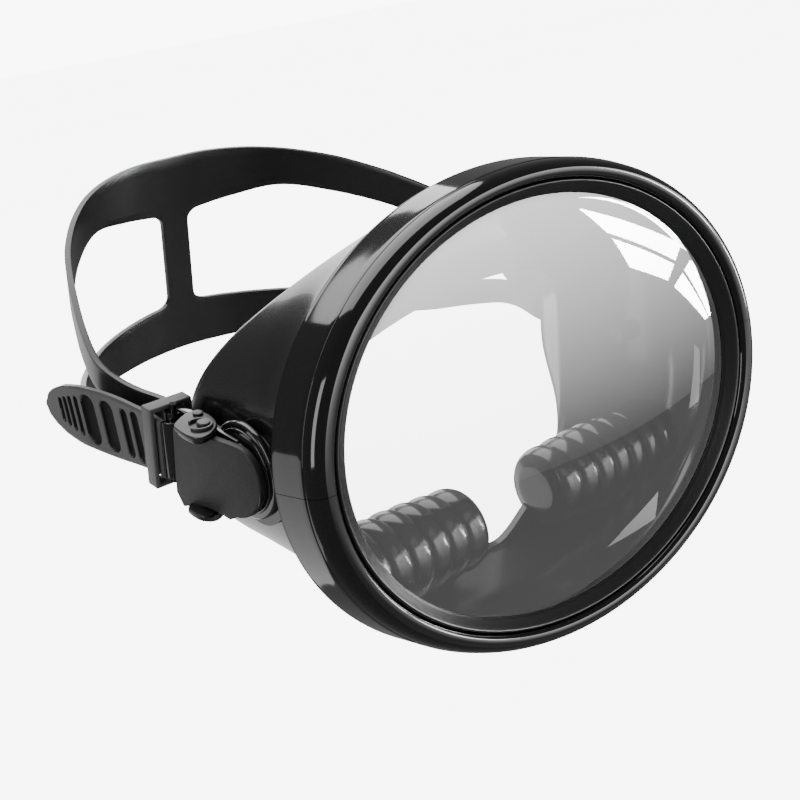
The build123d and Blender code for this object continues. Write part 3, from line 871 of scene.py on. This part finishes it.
def strap_line():
    """Points along the whole band, seen from above, and how far along it each one is."""
    line = curve_through([(-x, y) for x, y in STRAP_PLAN[:0:-1]] + STRAP_PLAN, 24)
    lengths = [0.0]
    for a, b in zip(line, line[1:]):
        lengths.append(lengths[-1] + math.dist(a, b))
    return line, lengths


def hole_at(share):
    up, low = table_at(HOLE_EDGES, share)
    near = min(share - HOLE_START, HOLE_END - share) / CORNER
    if near < 1:
        shrink = 3.6 * (1 - math.sqrt(max(1 - (1 - max(near, 0.0)) ** 2, 0.0)))
        up, low = up - shrink, low + shrink
        if share > 0.6:
            middle = (up + low) / 2
            up, low = max(up, middle + 0.6), min(low, middle - 0.6)
    return up, low


def make_strap():
    line, lengths = strap_line()
    total = lengths[-1]
    shares = [k / 150 for k in range(-150, 151)]
    edges = [HOLE_START, HOLE_END] + [HOLE_START + CORNER * t for t in (0.1, 0.25, 0.5, 0.75)]
    edges += [HOLE_END - CORNER * t for t in (0.1, 0.25, 0.5, 0.75)]
    shares = sorted(set(shares + edges + [-e for e in edges]))
    bands = [6, 10, 6]
    columns = sum(bands) + 1
    verts, faces = [], []
    place = 0
    for share in shares:
        target = total * (0.5 + share / 2)
        while place < len(lengths) - 2 and lengths[place + 1] < target:
            place += 1
        t = (target - lengths[place]) / (lengths[place + 1] - lengths[place])
        x = line[place][0] + t * (line[place + 1][0] - line[place][0])
        y = line[place][1] + t * (line[place + 1][1] - line[place][1])
        up, low = table_at(BAND_EDGES, abs(share))
        inside = HOLE_START <= abs(share) <= HOLE_END
        if inside:
            hole_up, hole_low = hole_at(abs(share))
        else:
            hole_up, hole_low = hole_at(HOLE_START if abs(share) < 0.5 else HOLE_END)
        levels = [up, hole_up, hole_low, low]
        heights = [up]
        for part, count in enumerate(bands):
            for k in range(1, count + 1):
                heights.append(levels[part] + (levels[part + 1] - levels[part]) * k / count)
        verts += [(x, y, z) for z in heights]
    for r in range(len(shares) - 1):
        middle = abs(shares[r] + shares[r + 1]) / 2
        for c in range(columns - 1):
            if bands[0] <= c < bands[0] + bands[1] and HOLE_START < middle < HOLE_END:
                continue
            a = r * columns + c
            faces.append((a, a + 1, a + columns + 1, a + columns))
    piece = outward(add_mesh("strap_band", verts, faces, HARNESS))
    thick = piece.modifiers.new("thickness", "SOLIDIFY")
    thick.thickness, thick.offset = STRAP_THICKNESS * MM, 0.0
    apply_modifiers(piece)
    round_edges(piece, 0.5, 2)
    return dress(piece, "strap", "harness", "head_strap")


TAIL_PLAN = [(84.9, 32.6), (85.2, 41.0), (88.0, 56.0), (91.3, 69.5), (94.0, 83.0)]
# share of the tail's length, half width
TAIL_HALF = [(0.0, 8.9), (0.2, 9.4), (0.45, 10.1), (0.7, 9.6), (0.84, 8.0), (0.93, 5.8),
             (0.975, 3.8), (1.0, 1.2)]
# grooves across the outer face: distance from the keeper, half width, half length
TAIL_GROOVES = [(8.6, 1.35, 7.7), (13.2, 1.3, 7.3), (20.6, 2.5, 7.7), (28.6, 2.5, 7.6),
                (33.6, 0.6, 6.0), (36.4, 0.6, 5.3), (38.8, 0.6, 4.5), (41.0, 0.6, 3.7)]
GROOVE_SLANT, GROOVE_DEPTH = 0.18, 1.0


def groove_depth(u, w):
    """How deep the grooves are at a place on the tail, from 0 to 1."""
    deepest = 0.0
    for start, half_width, half_length in TAIL_GROOVES:
        across = abs(u - start - GROOVE_SLANT * w)
        along = max(abs(w) - (half_length - half_width), 0.0)
        distance = math.hypot(across, along) - half_width
        deepest = max(deepest, 1.0 - smoothstep(-0.15, 0.25, distance))
    return deepest


def tail_place(plan, lengths, u):
    """Place and outward direction at a distance along the tail."""
    k = min(max(int(u / lengths[-1] * (len(plan) - 1)), 1), len(plan) - 2)
    while lengths[k] > u and k > 0:
        k -= 1
    while k < len(plan) - 2 and lengths[k + 1] < u:
        k += 1
    t = (u - lengths[k]) / (lengths[k + 1] - lengths[k])
    (x0, y0), (x1, y1) = plan[k], plan[k + 1]
    length = math.hypot(x1 - x0, y1 - y0)
    return x0 + t * (x1 - x0), y0 + t * (y1 - y0), (y1 - y0) / length, -(x1 - x0) / length


def make_tail(side_name, side):
    plan = curve_through(TAIL_PLAN, 60)
    lengths = [0.0]
    for a, b in zip(plan, plan[1:]):
        lengths.append(lengths[-1] + math.dist(a, b))
    total = lengths[-1]
    rows, columns = 240, 57
    outer, inner, dark = [], [], []
    for k in range(rows):
        start = total * k / (rows - 1)
        fade = smoothstep(0, 9, start) * (1 - smoothstep(total - 9, total, start))
        half = table_at(TAIL_HALF, start / total)[0]
        for c in range(columns):
            across = 2 * c / (columns - 1) - 1
            u = start + GROOVE_SLANT * half * across * fade
            x, y, nx, ny = tail_place(plan, lengths, u)
            w = table_at(TAIL_HALF, u / total)[0] * across
            sunk = groove_depth(u - 3.0, w) if u > 9.5 else 0.0
            edge = 0.35 * smoothstep(half - 0.7, half, abs(w))
            out = STRAP_THICKNESS / 2 - edge - GROOVE_DEPTH * sunk
            outer.append((x + nx * out, y + ny * out, w))
            back = STRAP_THICKNESS / 2 - edge
            inner.append((x - nx * back, y - ny * back, w))
            # faces deep in a groove are marked for the near black material: painted shade
            dark.append(sunk > 0.35)
    count = rows * columns
    faces = grid_faces(rows, columns)
    groove_shade_kinds = [1 if sum(dark[i] for i in f) > 1 else 0 for f in faces]
    inside = [tuple(i + count for i in reversed(f)) for f in faces]
    rim = []
    for r in range(rows - 1):
        for c in (0, columns - 1):
            a, b = r * columns + c, (r + 1) * columns + c
            rim.append((a, b, b + count, a + count))
    for r in (0, rows - 1):
        for c in range(columns - 1):
            a, b = r * columns + c, r * columns + c + 1
            rim.append((a, b, b + count, a + count))
    piece = add_mesh("tail_" + side_name + "_strip", outer + inner, faces + inside + rim, HARNESS, side)
    piece.data.materials.append(MATERIALS["tail"])
    # second material paints shade into the grooves
    piece.data.materials.append(MATERIALS["groove_painted_shade"])
    for polygon, kind in zip(piece.data.polygons, groove_shade_kinds):
        polygon.material_index = kind
    outward(piece)
    smooth_by_angle(piece, 50)
    dress(piece, "tail", "harness", "strap_tail_" + side_name)
    turn = tube("strap_turn_" + side_name, (81.0, 32.6), -8.9, 8.9, 4.3, 2.9, side, 180, 360)
    dress(turn, "roller", "harness")


make_strap()
for side_name, side in SIDES:
    make_tail(side_name, side)


# ---- CAD pieces that stay as they are, with finished materials -----------------------------
def refinish(node, slot):
    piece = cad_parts[node]
    piece.data.materials.clear()
    piece.data.materials.append(MATERIALS[slot])


for side_name, _ in SIDES:
    refinish("swivel_boss_" + side_name, "silicone")
    refinish("swivel_stud_" + side_name, "buckle")
    refinish("strap_roller_" + side_name, "roller")
    refinish("roller_axle_" + side_name, "roller")
refinish("rim_dowels", "steel")
